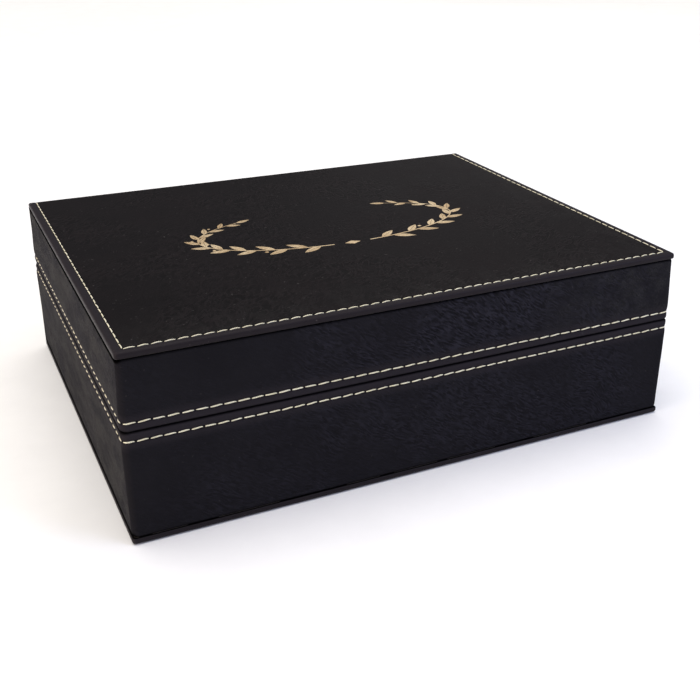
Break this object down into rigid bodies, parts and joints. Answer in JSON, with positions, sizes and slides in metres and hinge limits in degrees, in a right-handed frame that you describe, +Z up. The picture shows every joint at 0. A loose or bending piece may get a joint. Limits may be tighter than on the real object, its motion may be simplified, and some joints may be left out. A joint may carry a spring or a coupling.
{
  "type": "leatherette gift box",
  "caption": "Rectangular hinged presentation box wrapped in stitched black leatherette, with a lined tray under a lid that swings open at the back.",
  "frame": {"origin": "under the middle of the box, on the surface it stands on", "axes": "+X along the front from left to right, +Y from the front to the hinge at the back, +Z up"},
  "size_m": [0.2494, 0.1986, 0.08],
  "materials": {
    "leatherette": "fine grain, satin",
    "fibreboard": "raw pressed fibre",
    "lining_fabric": "short velvet pile",
    "thread": "twisted sewing thread",
    "magnet": "nickel plated"
  },
  "bodies": {
    "base": {"base_bottom_board": "fibreboard", "base_bottom_leatherette": "leatherette", "base_back_leatherette": "leatherette", "base_side_leatherette": "leatherette", "base_floor_panel": "lining_fabric", "base_closure_magnets": "magnet", "base_rim_stitching": "thread", "base_hinge_strip": "leatherette", "hinge_fold": "leatherette", "base_front_wall": "fibreboard", "base_back_wall": "fibreboard", "base_left_wall": "fibreboard", "base_right_wall": "fibreboard", "base_front_lining": "lining_fabric", "base_back_lining": "lining_fabric", "base_left_lining": "lining_fabric", "base_right_lining": "lining_fabric"},
    "lid": {"lid_top_board": "fibreboard", "lid_top_leatherette": "leatherette", "lid_back_leatherette": "leatherette", "lid_side_leatherette": "leatherette", "lid_ceiling_panel": "lining_fabric", "lid_closure_magnets": "magnet", "lid_top_stitching": "thread", "lid_rim_stitching": "thread", "lid_hinge_strip": "leatherette", "lid_front_wall": "fibreboard", "lid_back_wall": "fibreboard", "lid_left_wall": "fibreboard", "lid_right_wall": "fibreboard", "lid_front_lining": "lining_fabric", "lid_back_lining": "lining_fabric", "lid_left_lining": "lining_fabric", "lid_right_lining": "lining_fabric"}
  },
  "joints": [
    {"name": "lid_hinge", "type": "hinge", "parent": "base", "child": "lid", "pos_m": [0, 0.0979, 0.0479], "axis": [-1, 0, 0], "range_deg": [0, 105]}
  ]
}
